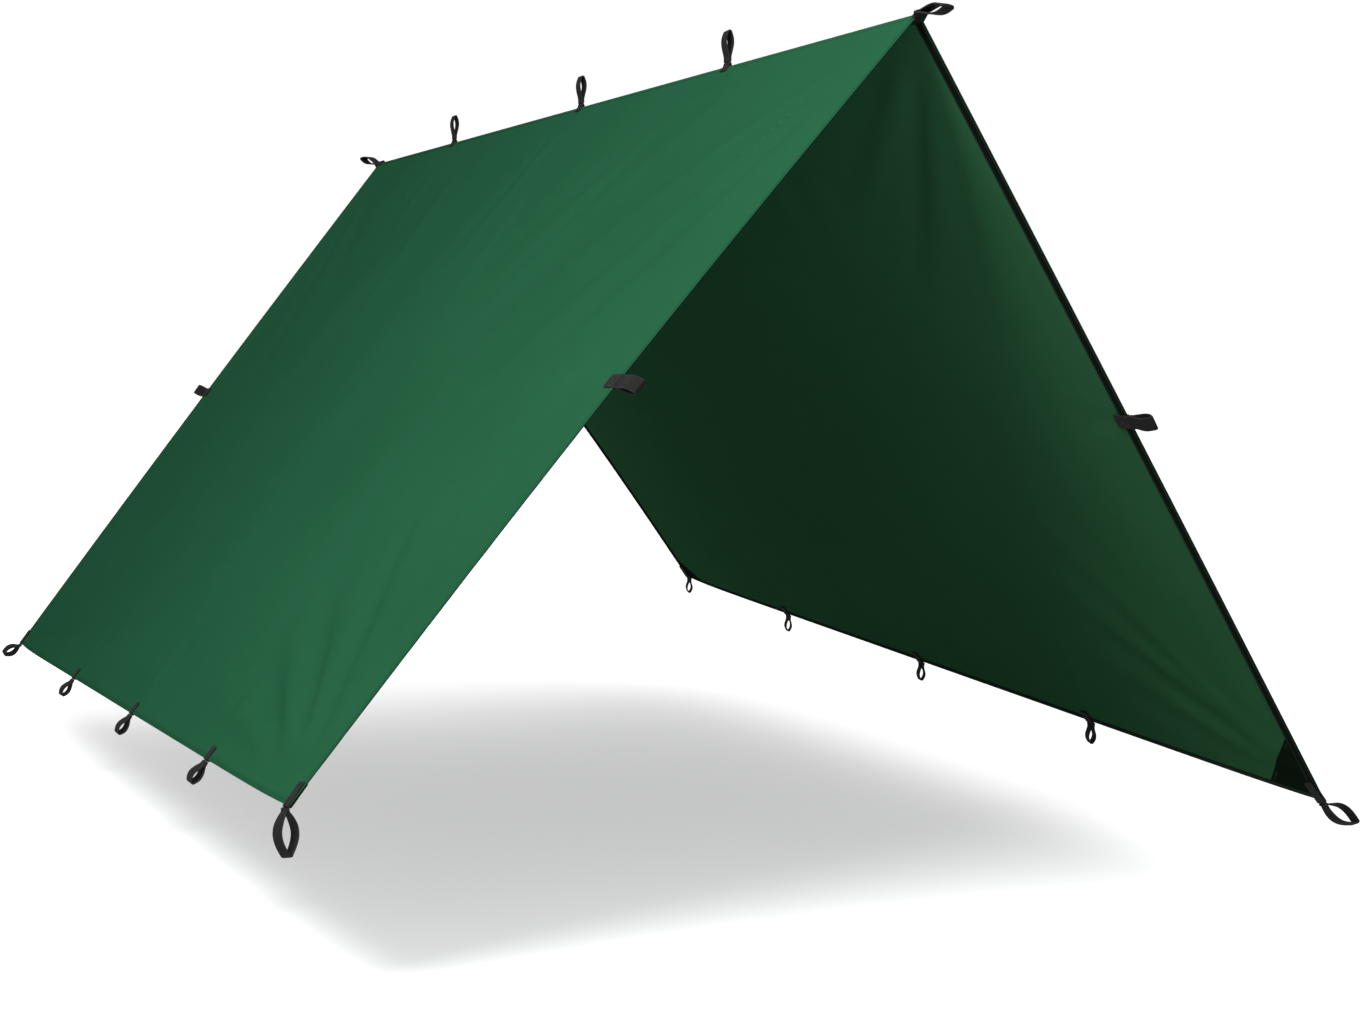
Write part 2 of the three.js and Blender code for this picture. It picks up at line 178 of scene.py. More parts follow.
class Fold:
    """Long soft ridge in the cloth with a shallow furrow on each side, or a furrow if its
    height is negative: its start and end on the flat sheet as (along, down) in metres, its
    half width at each end and its height."""

    def __init__(self, start, end, width_start, width_end, height):
        self.start, self.end = np.array(start), np.array(end)
        self.widths = (width_start, width_end)
        self.height = height

    def lift(self, run, drop):
        line = self.end - self.start
        length = np.linalg.norm(line)
        direction = line / length
        dx, dy = run - self.start[0], drop - self.start[1]
        off = -dx * direction[1] + dy * direction[0]
        reached = dx * direction[0] + dy * direction[1]
        t = np.clip(reached / length, 0, 1)
        beyond, before = np.maximum(0, reached - length), np.maximum(0, -reached)
        width = self.widths[0] * (1 - t) + self.widths[1] * t
        q = np.hypot(off, np.maximum(beyond, before)) / width
        profile = np.exp(-q * q) - 0.45 * np.exp(-(q / 2.1) ** 2)
        return self.height * profile * smooth(t / 0.3) * smooth((1 - t) / 0.5)


# Fans of folds that radiate from the points where the sheet is held: anchor as shares of
# (along, down), first and last direction in degrees from the ridge line towards the eave,
# number of folds, their length in metres, half width at the far end and height.
FANS = {
    "left": [
        ((0.0, 0.0), 22, 58, 5, 1.35, 42 * MM, 4.2 * MM),
        ((0.24, 0.0), 38, 62, 3, 0.80, 34 * MM, 3.2 * MM),
        ((0.49, 0.0), 60, 112, 3, 0.55, 30 * MM, 2.2 * MM),
        ((0.78, 0.0), 70, 118, 2, 0.45, 28 * MM, 1.4 * MM),
        ((1.0, 0.0), 118, 150, 3, 1.00, 40 * MM, 2.0 * MM),
        ((0.0, 1.0), -48, -7, 6, 0.85, 30 * MM, 3.6 * MM),
        ((1.0, 1.0), 186, 222, 5, 1.10, 34 * MM, 3.2 * MM),
    ],
    "right": [
        ((0.0, 0.0), 30, 66, 4, 0.80, 34 * MM, 3.0 * MM),
        ((0.24, 0.0), 60, 115, 3, 0.50, 28 * MM, 2.0 * MM),
        ((0.49, 0.0), 65, 115, 2, 0.50, 28 * MM, 1.8 * MM),
        ((0.78, 0.0), 70, 120, 2, 0.45, 28 * MM, 1.6 * MM),
        ((1.0, 0.0), 118, 152, 3, 0.90, 40 * MM, 2.4 * MM),
        ((0.0, 1.0), -46, -14, 6, 1.00, 34 * MM, 4.4 * MM),
        ((1.0, 1.0), 190, 228, 4, 0.90, 36 * MM, 2.6 * MM),
    ],
}
STRAP_FAN = (3, 0.26, 18 * MM, 0.9 * MM)  # the small fan at a strap in the middle of an edge
FOLD_STRENGTH = 2.4  # applied to the heights of all fans
FOLD_ROOT = 24 * MM  # half width of a fold where it starts
FOLD_SPREAD = 1.35  # applied to the half widths of the fans at their far end
EDGE_FREE = (26 * MM, 70 * MM)  # folds begin this far inside the edges and fade in over this
RIDGE_FREE = (20 * MM, 80 * MM)

# The longest single folds: start and end as (along, down) in metres, half widths, height.
LONG_FOLDS = {
    "left": [
        ((0.48, 0.02), (1.20, 0.62), 34 * MM, 60 * MM, 9 * MM),
        ((0.22, 0.16), (1.02, 0.74), 36 * MM, 62 * MM, 9 * MM),
        ((1.48, 0.04), (1.24, 0.62), 34 * MM, 50 * MM, 6 * MM),
        ((2.10, 0.05), (1.92, 0.70), 32 * MM, 50 * MM, 5 * MM),
        ((0.04, 1.49), (0.62, 1.24), 24 * MM, 46 * MM, 8 * MM),
        ((0.04, 1.49), (1.15, 1.36), 24 * MM, 44 * MM, 8 * MM),
        ((2.96, 1.48), (1.60, 1.28), 24 * MM, 50 * MM, 7 * MM),
    ],
    "right": [
        ((0.04, 0.04), (0.42, 0.46), 26 * MM, 44 * MM, 7 * MM),
        ((0.08, 1.47), (0.72, 1.22), 26 * MM, 50 * MM, 9 * MM),
        ((0.05, 1.42), (0.55, 0.98), 26 * MM, 50 * MM, 9 * MM),
        ((0.10, 1.44), (1.15, 1.00), 26 * MM, 56 * MM, 8 * MM),
    ],
}


def fan_folds(fan, rng):
    (along, down), first, last, count, length, width, height = fan
    folds = []
    for k in range(count):
        angle = math.radians(first + (last - first) * (k + 0.5) / count + rng.uniform(-3, 3))
        reach = length * rng.uniform(0.75, 1.1)
        direction = np.array([math.cos(angle), math.sin(angle)])
        anchor = np.array([along * RUN, down * SLOPE])
        sign = 1 if k % 2 else -1
        folds.append(Fold(anchor + direction * 0.02, anchor + direction * reach,
                          FOLD_ROOT, FOLD_SPREAD * width * rng.uniform(0.8, 1.15),
                          FOLD_STRENGTH * sign * height * rng.uniform(0.7, 1.1)))
    return folds


def side_folds(side):
    rng = random.Random(41 if side == "left" else 43)
    folds = [fold for fan in FANS[side] for fold in fan_folds(fan, rng)]
    folds += [Fold(*long_fold) for long_fold in LONG_FOLDS[side]]
    for station in STATIONS[side]:
        folds += fan_folds(((station, 1.0), -125, -55, *STRAP_FAN), rng)
    for along, first, last in ((0.0, -25, 25), (1.0, 155, 205)):
        folds += fan_folds(((along, GABLE_STATION), first, last, *STRAP_FAN), rng)
    return folds


def side_waves(side):
    """Slow undulations of the whole sheet: (along, down) wave numbers, phase and height."""
    rng = random.Random(5 if side == "left" else 7)
    waves = []
    for k in range(9):
        size = 0.35 + 0.17 * k
        angle = rng.uniform(0, math.pi)
        number = 2 * math.pi / size
        waves.append((number * math.cos(angle), number * math.sin(angle),
                      rng.uniform(0, 2 * math.pi), 0.55 * MM * size / 0.6))
    return waves


FOLDS = {side: side_folds(side) for side in EAVES}
WAVES = {side: side_waves(side) for side in EAVES}


def edge_distance(run, drop):
    return np.minimum(np.minimum(run, RUN - run), SLOPE - drop)


def relief(side, down, along):
    """Height of the folds above the taut panel; none under the tapes or beside the ridge."""
    run, drop = np.asarray(along) * RUN, np.asarray(down) * SLOPE
    height = sum(fold.lift(run, drop) for fold in FOLDS[side])
    for kx, ky, phase, size in WAVES[side]:
        height = height + size * np.sin(kx * run + ky * drop + phase)
    from_edge = smooth((edge_distance(run, drop) - EDGE_FREE[0]) / EDGE_FREE[1])
    from_ridge = smooth((drop - RIDGE_FREE[0]) / RIDGE_FREE[1])
    return height * (from_edge * from_ridge)


def cloth_point(side, down, along, height):
    """Point of the folded cloth, `height` along its outward normal."""
    lift = relief(side, down, along) + height
    return panel_point(side, down, along) + panel_normal(side, down, along) * lift[..., None]


# ---- Mesh building ----

def add_mesh(name, verts, faces, material_list, uvs=None, indices=None, sharp=40):
    mesh = bpy.data.meshes.new(name)
    mesh.from_pydata([tuple(v) for v in verts], [], [tuple(f) for f in faces])
    for material in material_list:
        mesh.materials.append(material)
    if indices is not None:
        mesh.polygons.foreach_set("material_index", np.asarray(indices, np.int32))
    mesh.polygons.foreach_set("use_smooth", np.ones(len(mesh.polygons), bool))
    mesh.set_sharp_from_angle(angle=math.radians(sharp))
    if uvs is not None:
        layer = mesh.uv_layers.new(name="cloth")
        loops = np.zeros(len(mesh.loops), np.int32)
        mesh.loops.foreach_get("vertex_index", loops)
        layer.data.foreach_set("uv", np.asarray(uvs, np.float32)[loops].ravel())
    mesh.validate()
    mesh.update()
    obj = bpy.data.objects.new(name, mesh)
    bpy.context.scene.collection.objects.link(obj)
    return obj


def grid_faces(rows, columns, first=0, flip=False):
    i, j = np.meshgrid(np.arange(rows - 1), np.arange(columns - 1), indexing="ij")
    a = first + i * columns + j
    quads = np.stack([a, a + columns, a + columns + 1, a + 1], -1).reshape(-1, 4)
    return quads[:, ::-1] if flip else quads


def rim_faces(rows, columns, other, flip=False):
    """Faces that join the borders of two grids, the second starting at vertex `other`."""
    top = list(range(columns))
    right = [i * columns + columns - 1 for i in range(rows)]
    bottom = [(rows - 1) * columns + j for j in range(columns - 1, -1, -1)]
    left = [i * columns for i in range(rows - 1, -1, -1)]
    ring = top[:-1] + right[:-1] + bottom[:-1] + left[:-1]
    quads = []
    for k, a in enumerate(ring):
        b = ring[(k + 1) % len(ring)]
        quads.append((a, b, b + other, a + other))
    quads = np.array(quads)
    return quads[:, ::-1] if flip else quads


def slab(name, outer, inner, uv, materials, flip, under=False):
    """Closed sheet between two point grids of the same shape (rows, columns, 3)."""
    rows, columns = outer.shape[:2]
    count = rows * columns
    verts = np.concatenate([outer.reshape(-1, 3), inner.reshape(-1, 3)])
    top = grid_faces(rows, columns, 0, flip)
    bottom = grid_faces(rows, columns, count, not flip)
    rim = rim_faces(rows, columns, count, flip)
    faces = np.concatenate([top, bottom, rim])
    indices = np.zeros(len(faces), int)
    if under:
        indices[len(top):len(top) + len(bottom)] = 1
    uvs = np.concatenate([uv.reshape(-1, 2), uv.reshape(-1, 2)])
    return add_mesh(name, verts, faces, materials, uvs, indices)


def spaced(length, near_start, near_end, step):
    """Positions from 0 to length: given offsets near each end, about `step` apart between."""
    start = np.array(near_start)
    end = length - np.array(near_end)[::-1]
    count = max(2, int(round((end[0] - start[-1]) / step)) + 1)
    middle = np.linspace(start[-1], end[0], count)[1:-1]
    return np.concatenate([start, middle, end])


def tube_faces(rows, columns):
    """Faces of a tube of rings of points, closed at both ends."""
    faces = []
    for i in range(rows - 1):
        for j in range(columns):
            a, b = i * columns + j, i * columns + (j + 1) % columns
            faces.append((a, b, b + columns, a + columns))
    faces.append(tuple(range(columns - 1, -1, -1)))
    faces.append(tuple((rows - 1) * columns + j for j in range(columns)))
    return faces


def webbing_section(thickness):
    """(across, height) points round the webbing, a little thinner at its selvedges."""
    half_w, half_t = STRAP_WIDTH / 2, thickness / 2
    inside = half_w - half_t
    thin = 0.94 * half_t
    across = [-inside, -half_w * 0.55, 0, half_w * 0.55, inside]
    face = [(z, half_t if abs(z) < half_w * 0.7 else thin) for z in across]
    section = list(face)
    for k in range(1, 4):
        angle = math.pi / 2 - math.pi * k / 4
        section.append((inside + half_t * math.cos(angle), thin * math.sin(angle)))
    section += [(z, -height) for z, height in face[::-1]]
    for k in range(1, 4):
        angle = -math.pi / 2 - math.pi * k / 4
        section.append((-inside + half_t * math.cos(angle), thin * math.sin(angle)))
    return np.array(section)


def ribbon(path, thickness, origin, axes, shift=None):
    """Webbing swept along a path of (x, y) points in the frame `axes` (out, up, across), with
    rounded selvedges. shift(t) gives a sideways offset and a twist at share t of the path."""
    path = np.asarray(path, float)
    steps = np.linalg.norm(np.diff(path, axis=0), axis=1)
    reach = np.concatenate([[0], np.cumsum(steps)])
    along = unit(np.gradient(path, axis=0))
    normal = np.stack([-along[:, 1], along[:, 0]], -1)
    section = webbing_section(thickness)
    out, up, side = axes
    verts, uvs = [], []
    for k, (point, n) in enumerate(zip(path, normal)):
        t = reach[k] / reach[-1]
        slide, twist = shift(t) if shift else (0.0, 0.0)
        z = section[:, 0] * math.cos(twist) - section[:, 1] * math.sin(twist) + slide
        h = section[:, 0] * math.sin(twist) + section[:, 1] * math.cos(twist)
        xy = point[None, :] + n[None, :] * h[:, None]
        verts.append(origin + xy[:, :1] * out + xy[:, 1:] * up + z[:, None] * side)
        uvs.append(np.stack([np.full(len(section), reach[k]), section[:, 0]], -1))
    faces = tube_faces(len(path), len(section))
    if np.dot(np.cross(out, up), side) < 0:
        faces = [tuple(reversed(f)) for f in faces]
    return np.concatenate(verts), faces, np.concatenate(uvs)


def stitch_block(centre, direction, normal, length, width, height):
    """Eight corners and six faces of one stitch that lies proud of a surface."""
    side = np.cross(normal, direction)
    corners = []
    for z, share in ((-0.3, 1.0), (1.0, 0.55)):
        for x, y in ((-1, -1), (1, -1), (1, 1), (-1, 1)):
            corners.append(centre + direction * x * length / 2 * (0.7 + 0.3 * share)
                           + side * y * width / 2 * share + normal * z * height)
    faces = [(3, 2, 1, 0), (4, 5, 6, 7), (0, 1, 5, 4), (1, 2, 6, 5), (2, 3, 7, 6), (3, 0, 4, 7)]
    return corners, faces


def stitch_line(start, end, normal, pitch=STITCH_PITCH):
    """Row of short stitches from start to end, proud of the surface."""
    width, height = 0.75 * MM, 0.35 * MM
    start, end = np.asarray(start, float), np.asarray(end, float)
    length = np.linalg.norm(end - start)
    direction = (end - start) / length
    count = max(1, int(round(length / pitch)))
    verts, faces = [], []
    for k in range(count):
        centre = start + direction * length * (k + 0.5) / count
        corners, quads = stitch_block(centre, direction, normal, length / count * 0.74, width, height)
        base = len(verts)
        verts += corners
        faces += [tuple(base + c for c in quad) for quad in quads]
    return verts, faces


class Part:
    """Collects several meshes into one piece."""

    def __init__(self, name):
        self.name = name
        self.verts, self.faces, self.uvs, self.indices = [], [], [], []

    def add(self, verts, faces, uvs=None, index=0):
        base = len(self.verts)
        self.verts += [np.asarray(v, float) for v in verts]
        self.faces += [tuple(base + c for c in face) for face in faces]
        self.uvs += [tuple(uv) for uv in uvs] if uvs is not None else [(0.0, 0.0)] * len(verts)
        self.indices += [index] * len(faces)

    def build(self, materials, sharp=40):
        return add_mesh(self.name, self.verts, self.faces, materials, self.uvs, self.indices, sharp)


# ---- Materials ----

class Shader:
    """One node material; every uniform value sits on the shader's own sockets."""

    def __init__(self, name, **values):
        self.material = bpy.data.materials.new(name)
        self.material.use_nodes = True
        self.tree = self.material.node_tree
        self.shader = self.tree.nodes["Principled BSDF"]
        for socket, value in values.items():
            self.shader.inputs[socket.replace("_", " ")].default_value = value
        split = self.node("ShaderNodeSeparateXYZ")
        self.link(self.node("ShaderNodeUVMap", uv_map="cloth").outputs[0], split.inputs[0])
        self.u, self.v = split.outputs[0], split.outputs[1]
        self.normal = None

    def node(self, kind, **settings):
        made = self.tree.nodes.new(kind)
        for key, value in settings.items():
            setattr(made, key, value)
        return made

    def link(self, a, b):
        self.tree.links.new(a, b)

    def math(self, operation, a, b=None, c=None, clamp=False):
        made = self.node("ShaderNodeMath", operation=operation, use_clamp=clamp)
        for k, value in enumerate((a, b, c)):
            if isinstance(value, (int, float)):
                made.inputs[k].default_value = value
            elif value is not None:
                self.link(value, made.inputs[k])
        return made.outputs[0]

    def noise(self, scale, detail=3.0, roughness=0.55):
        made = self.node("ShaderNodeTexNoise")
        made.inputs["Scale"].default_value = scale
        made.inputs["Detail"].default_value = detail
        made.inputs["Roughness"].default_value = roughness
        self.link(self.node("ShaderNodeTexCoord").outputs["Object"], made.inputs["Vector"])
        return made.outputs["Fac"]

    def ramp(self, value, low, high, to_low=0.0, to_high=1.0):
        made = self.node("ShaderNodeMapRange", clamp=True)
        self.link(value, made.inputs["Value"])
        limits = {"From Min": low, "From Max": high, "To Min": to_low, "To Max": to_high}
        for key, number in limits.items():
            made.inputs[key].default_value = number
        return made.outputs[0]

    def wave(self, coordinate, period):
        """Rounded ribs of the given period in metres, 0..1."""
        turned = self.math("MULTIPLY", coordinate, 2 * math.pi / period)
        return self.math("MULTIPLY_ADD", self.math("SINE", turned), 0.5, 0.5)

    def band(self, coordinate, centre, half, soft):
        """1 within `half` of `centre`, falling to 0 over `soft`."""
        away = self.math("ABSOLUTE", self.math("SUBTRACT", coordinate, centre))
        return self.ramp(away, half, half + soft, 1.0, 0.0)

    def dashes(self, coordinate, pitch, share):
        turned = self.math("FRACT", self.math("DIVIDE", coordinate, pitch))
        return self.math("LESS_THAN", turned, share)

    def colour(self, factor, dark, light):
        made = self.node("ShaderNodeMix", data_type="RGBA")
        self.link(factor, made.inputs["Factor"])
        for socket, value in (("A", dark), ("B", light)):
            if isinstance(value, tuple):
                made.inputs[socket].default_value = (*value, 1)
            else:
                self.link(value, made.inputs[socket])
        return made.outputs["Result"]

    def bump(self, height, distance, strength):
        made = self.node("ShaderNodeBump")
        made.inputs["Distance"].default_value = distance
        made.inputs["Strength"].default_value = strength
        self.link(height, made.inputs["Height"])
        if self.normal is not None:
            self.link(self.normal, made.inputs["Normal"])
        self.normal = made.outputs[0]

    def finish(self, colour, roughness=None):
        self.link(colour, self.shader.inputs["Base Color"])
        if roughness is not None:
            self.link(roughness, self.shader.inputs["Roughness"])
        if self.normal is not None:
            self.link(self.normal, self.shader.inputs["Normal"])
        return self.material


RIP_SPACING = 5 * MM


def cloth_material(name, dark, light, hem, stitch, painted_slope_shading):
    """Coated ripstop: a fine plain weave, thicker threads in a grid, a stitched hem. A share
    of its tone is painted light and shade by height on the slope: paler at the ridge, darker at the
    eave."""
    s = Shader(name, Specular_IOR_Level=0.0)
    threads = s.math("MULTIPLY", s.wave(s.u, 0.9 * MM), s.wave(s.v, 0.9 * MM))
    rip_u, rip_v = (s.band(s.math("PINGPONG", way, RIP_SPACING / 2), 0.0, 0.25 * MM, 0.2 * MM)
                    for way in (s.u, s.v))
    rip = s.math("MAXIMUM", rip_u, rip_v)
    cloudy = s.noise(2.2, 4.0, 0.6)
    mottled = s.noise(38.0, 3.0, 0.6)
    fine = s.math("MULTIPLY", s.ramp(mottled, 0.3, 0.7), 0.25)
    tone = s.math("MULTIPLY_ADD", s.ramp(cloudy, 0.3, 0.7), 0.75, fine)
    # Painted light and shade down the slope: the tone is paler near the ridge and darker towards the
    # eave.
    rise = s.ramp(s.v, 0.0, SLOPE, 1.0, 0.0)
    tone = s.math("ADD", s.math("MULTIPLY", tone, 1 - painted_slope_shading), s.math("MULTIPLY", rise, painted_slope_shading))
    base = s.colour(tone, dark, light)
    from_gable = s.math("MINIMUM", s.u, s.math("SUBTRACT", RUN, s.u))
    from_eave = s.math("SUBTRACT", SLOPE, s.v)
    edge = s.math("MINIMUM", from_gable, from_eave)
    if hem:
        base = s.colour(s.ramp(edge, 10.5 * MM, 12.5 * MM, 0.85, 0.0), base, hem)
    base = s.colour(s.math("MULTIPLY", rip, 0.16), base, tuple(0.6 * part for part in dark))
    gable = s.math("LESS_THAN", from_gable, from_eave)
    eave = s.math("SUBTRACT", 1.0, gable)
    travel = s.math("ADD", s.math("MULTIPLY", gable, s.v), s.math("MULTIPLY", eave, s.u))
    sewn = s.math("MULTIPLY", s.band(edge, HEM_STITCH, 0.35 * MM, 0.2 * MM),
                  s.dashes(travel, STITCH_PITCH, STITCH_SHARE))
    base = s.colour(sewn, base, stitch)
    s.bump(mottled, 0.6 * MM, 0.25)
    s.bump(rip, 0.12 * MM, 0.5)
    s.bump(threads, 0.05 * MM, 0.5)
    s.bump(sewn, 0.3 * MM, 0.6)
    return s.finish(base, s.ramp(mottled, 0.25, 0.75, 0.45, 0.56))


def webbing_material(name, dark, light, rib):
    """Woven strap: lengthwise ribs crossed by weft, worn paler along both selvedges."""
    s = Shader(name, Specular_IOR_Level=0.02)
    ribs = s.wave(s.v, rib)
    stagger = s.math("MULTIPLY", s.math("GREATER_THAN", s.wave(s.v, rib * 2), 0.5), rib * 0.5)
    weft = s.wave(s.math("ADD", s.u, stagger), rib)
    weave = s.math("MULTIPLY", ribs, s.math("MULTIPLY_ADD", weft, 0.6, 0.4))
    worn = s.ramp(s.math("ABSOLUTE", s.v), 10.2 * MM, 12.3 * MM, 0.0, 0.55)
    fuzz = s.noise(420.0, 2.0, 0.6)
    tone = s.math("ADD", s.math("MULTIPLY", weave, 0.55), s.math("MULTIPLY", fuzz, 0.25))
    tone = s.math("ADD", tone, worn, clamp=True)
    s.bump(weave, 0.35 * MM, 0.8)
    s.bump(fuzz, 0.15 * MM, 0.35)
    return s.finish(s.colour(tone, dark, light), s.ramp(fuzz, 0.3, 0.7, 0.62, 0.82))


def tape_material(name, dark, light, width):
    """Flat binding tape with a fine cross rib and a row of stitches near each edge."""
    s = Shader(name, Specular_IOR_Level=0.0)
    lengthwise = s.math("MULTIPLY_ADD", s.wave(s.v, 2.1 * MM), 0.5, 0.5)
    ribs = s.math("MULTIPLY", s.wave(s.u, 1.3 * MM), lengthwise)
    fuzz = s.noise(160.0, 3.0, 0.6)
    rows = s.math("MAXIMUM", s.band(s.v, STITCH_INSET, 0.35 * MM, 0.2 * MM),
                  s.band(s.v, width - STITCH_INSET, 0.35 * MM, 0.2 * MM))
    sewn = s.math("MULTIPLY", rows, s.dashes(s.u, STITCH_PITCH, STITCH_SHARE))
    tone = s.math("ADD", s.math("MULTIPLY", ribs, 0.5), s.math("MULTIPLY", fuzz, 0.35))
    base = s.colour(tone, dark, light)
    base = s.colour(sewn, base, (0.035, 0.042, 0.037))
    s.bump(ribs, 0.2 * MM, 0.7)
    s.bump(sewn, 0.3 * MM, 0.7)
    return s.finish(base, s.ramp(fuzz, 0.3, 0.7, 0.6, 0.78))


def plain_weave_material(name, dark, light, pitch):
    """Tight black reinforcement cloth with a faint checkered weave."""
    s = Shader(name, Specular_IOR_Level=0.0)
    weave = s.math("MULTIPLY", s.wave(s.u, pitch), s.wave(s.v, pitch))
    fuzz = s.noise(90.0, 3.0, 0.6)
    tone = s.math("ADD", s.math("MULTIPLY", weave, 0.5), s.math("MULTIPLY", fuzz, 0.4))
    s.bump(weave, 0.15 * MM, 0.6)
    s.bump(fuzz, 0.4 * MM, 0.2)
    return s.finish(s.colour(tone, dark, light), s.ramp(fuzz, 0.3, 0.7, 0.5, 0.68))


def thread_material(name, dark, light):
    """Bonded sewing thread, slightly uneven."""
    s = Shader(name, Specular_IOR_Level=0.02)
    twist = s.noise(900.0, 1.0, 0.5)
    return s.finish(s.colour(twist, dark, light), s.ramp(twist, 0.3, 0.7, 0.45, 0.65))


# The last argument is the share of painted light and shade down the slope: a quarter of the tone
# outside and most of it underneath. There the dark and light colours are mainly painted shade near the
# eave and painted light near the ridge.
GREEN_OUTER = cloth_material("green_cloth_outer", (0.0060, 0.0346, 0.0160), (0.0075, 0.0410, 0.0198),
                             (0.0053, 0.0300, 0.0138), (0.0130, 0.0520, 0.0280), 0.25)
GREEN_UNDER = cloth_material("green_cloth_under", (0.0082, 0.0325, 0.0136), (0.0142, 0.0580, 0.0265),
                             None, (0.0150, 0.0560, 0.0270), 0.8)
WEBBING = webbing_material("black_webbing", (0.0030, 0.0033, 0.0031), (0.0135, 0.0138, 0.0132),
                           1.5 * MM)
TAPE_COLOURS = (0.0016, 0.0030, 0.0019), (0.0046, 0.0070, 0.0050)
TAPE = tape_material("black_tape", *TAPE_COLOURS, TAPE_WIDTH)
EAVE_TAPE = tape_material("black_eave_tape", *TAPE_COLOURS, EAVE_TAPE_WIDTH)
PATCH = plain_weave_material("black_patch", (0.0015, 0.0032, 0.0018), (0.0040, 0.0068, 0.0046),
                             0.9 * MM)
THREAD = thread_material("black_thread", (0.009, 0.010, 0.009), (0.026, 0.028, 0.026))


# ---- Cloth ----

EDGE_LINES = [k * MM for k in (0, 0.4, 1.2, 3.5, 7, 8.8, 9.6, 10.4, 11.3, 12.3, 16, 21, 27, 38)]
RIDGE_LINES = [k * MM for k in (0.9, 3, 6, 10, 16, 24, 34, 46)]


def hem_height(distance, run, drop):
    """Outer face above the middle of the cloth: a doubled, stitched hem along the edges."""
    band = smooth((HEM_LIMIT - distance) / (1.0 * MM))
    groove = np.exp(-((distance - HEM_STITCH) / (0.8 * MM)) ** 2)
    roll = 1 - smooth(distance / EDGE_ROLL)
    pucker = np.sin(run * 137 + 2 * np.sin(run * 23)) * np.sin(drop * 121 + 2 * np.sin(drop * 31))
    raised = band * (HEM_RAISE + 0.12 * MM * pucker)
    return CLOTH_HALF + raised - 0.38 * MM * groove - 0.45 * MM * roll


def add_sheet(side):
    drops = spaced(SLOPE, RIDGE_LINES, EDGE_LINES, GRID_STEP)
    runs = spaced(RUN, EDGE_LINES, EDGE_LINES, GRID_STEP)
    drop, run = np.meshgrid(drops, runs, indexing="ij")
    down, along = drop / SLOPE, run / RUN
    distance = edge_distance(run, drop)
    outer = cloth_point(side, down, along, hem_height(distance, run, drop))
    under = -CLOTH_HALF + 0.1 * MM * (1 - smooth(distance / EDGE_ROLL))
    inner = cloth_point(side, down, along, under)
    uv = np.stack([run, drop], -1)
    faces_in = side == "right"
    sheet = slab(f"cloth_{side}", outer, inner, uv, [GREEN_OUTER, GREEN_UNDER], faces_in, under=True)
    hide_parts(f"{side}_panel")
    turn_with_panel(sheet)
    return sheet


def ridge_slope(side, along=0.5):
    """Direction down the cloth beside the ridge."""
    return slope_direction(side, 0.01, along)


def turn_with_panel(obj):
    """Bakes the piece's placement into its mesh."""
    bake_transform(obj)


# ---- Tapes and patches ----

def tape_lines(width):
    """Places across a tape: close together at its selvedges and stitches."""
    half = np.array([0, 0.5, 2.2, 3.0, 3.8]) * MM
    middle = np.linspace(half[-1], width - half[-1], 5 if width > 12 * MM else 3)[1:-1]
    return np.concatenate([half, middle, width - half[::-1]])


def tape_height(across, run, width):
    """Upper and lower face of a tape: it dips along both rows of stitches."""
    rows = (STITCH_INSET, width - STITCH_INSET)
    dip = sum(np.exp(-((across - row) / (0.7 * MM)) ** 2) for row in rows)
    edge = np.minimum(across, width - across)
    thin = 1 - smooth(edge / (0.6 * MM))
    pucker = 0.1 * MM * np.sin(run * 180 + 3 * np.sin(run * 17))
    lower = TAPE_TOP - TAPE_THICKNESS + 0.3 * MM * dip + 0.35 * MM * thin + pucker * (1 - thin)
    return np.full_like(lower, TAPE_TOP), lower


def add_tape(side, edge):
    gable = edge in ("front", "back")
    width = TAPE_WIDTH if gable else EAVE_TAPE_WIDTH
    if gable:
        first, last = TAPE_START, SLOPE - EAVE_TAPE_WIDTH - TAPE_EDGE_INSET - TAPE_JOIN_GAP
    else:
        first, last = TAPE_EDGE_INSET, RUN - TAPE_EDGE_INSET
    travels = spaced(last - first, [0, 0.4 * MM], [0, 0.4 * MM], 22 * MM) + first
    across, travel = np.meshgrid(tape_lines(width), travels, indexing="ij")
    if gable:
        offset = TAPE_EDGE_INSET + across
        down = travel / SLOPE
        along = offset / RUN if edge == "front" else 1 - offset / RUN
    else:
        down = 1 - (TAPE_EDGE_INSET + across) / SLOPE
        along = travel / RUN
    upper, lower = tape_height(across, travel, width)
    top = cloth_point(side, down, along, upper)
    bottom = cloth_point(side, down, along, lower)
    flip = (side == "right") ^ (edge != "front")
    material = TAPE if gable else EAVE_TAPE
    uv = np.stack([travel, across], -1)
    tape = slab(f"hem_tape_{side}_{edge}", top, bottom, uv, [material], not flip)
    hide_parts(f"tape_{side}_{edge}")
    turn_with_panel(tape)
    return tape


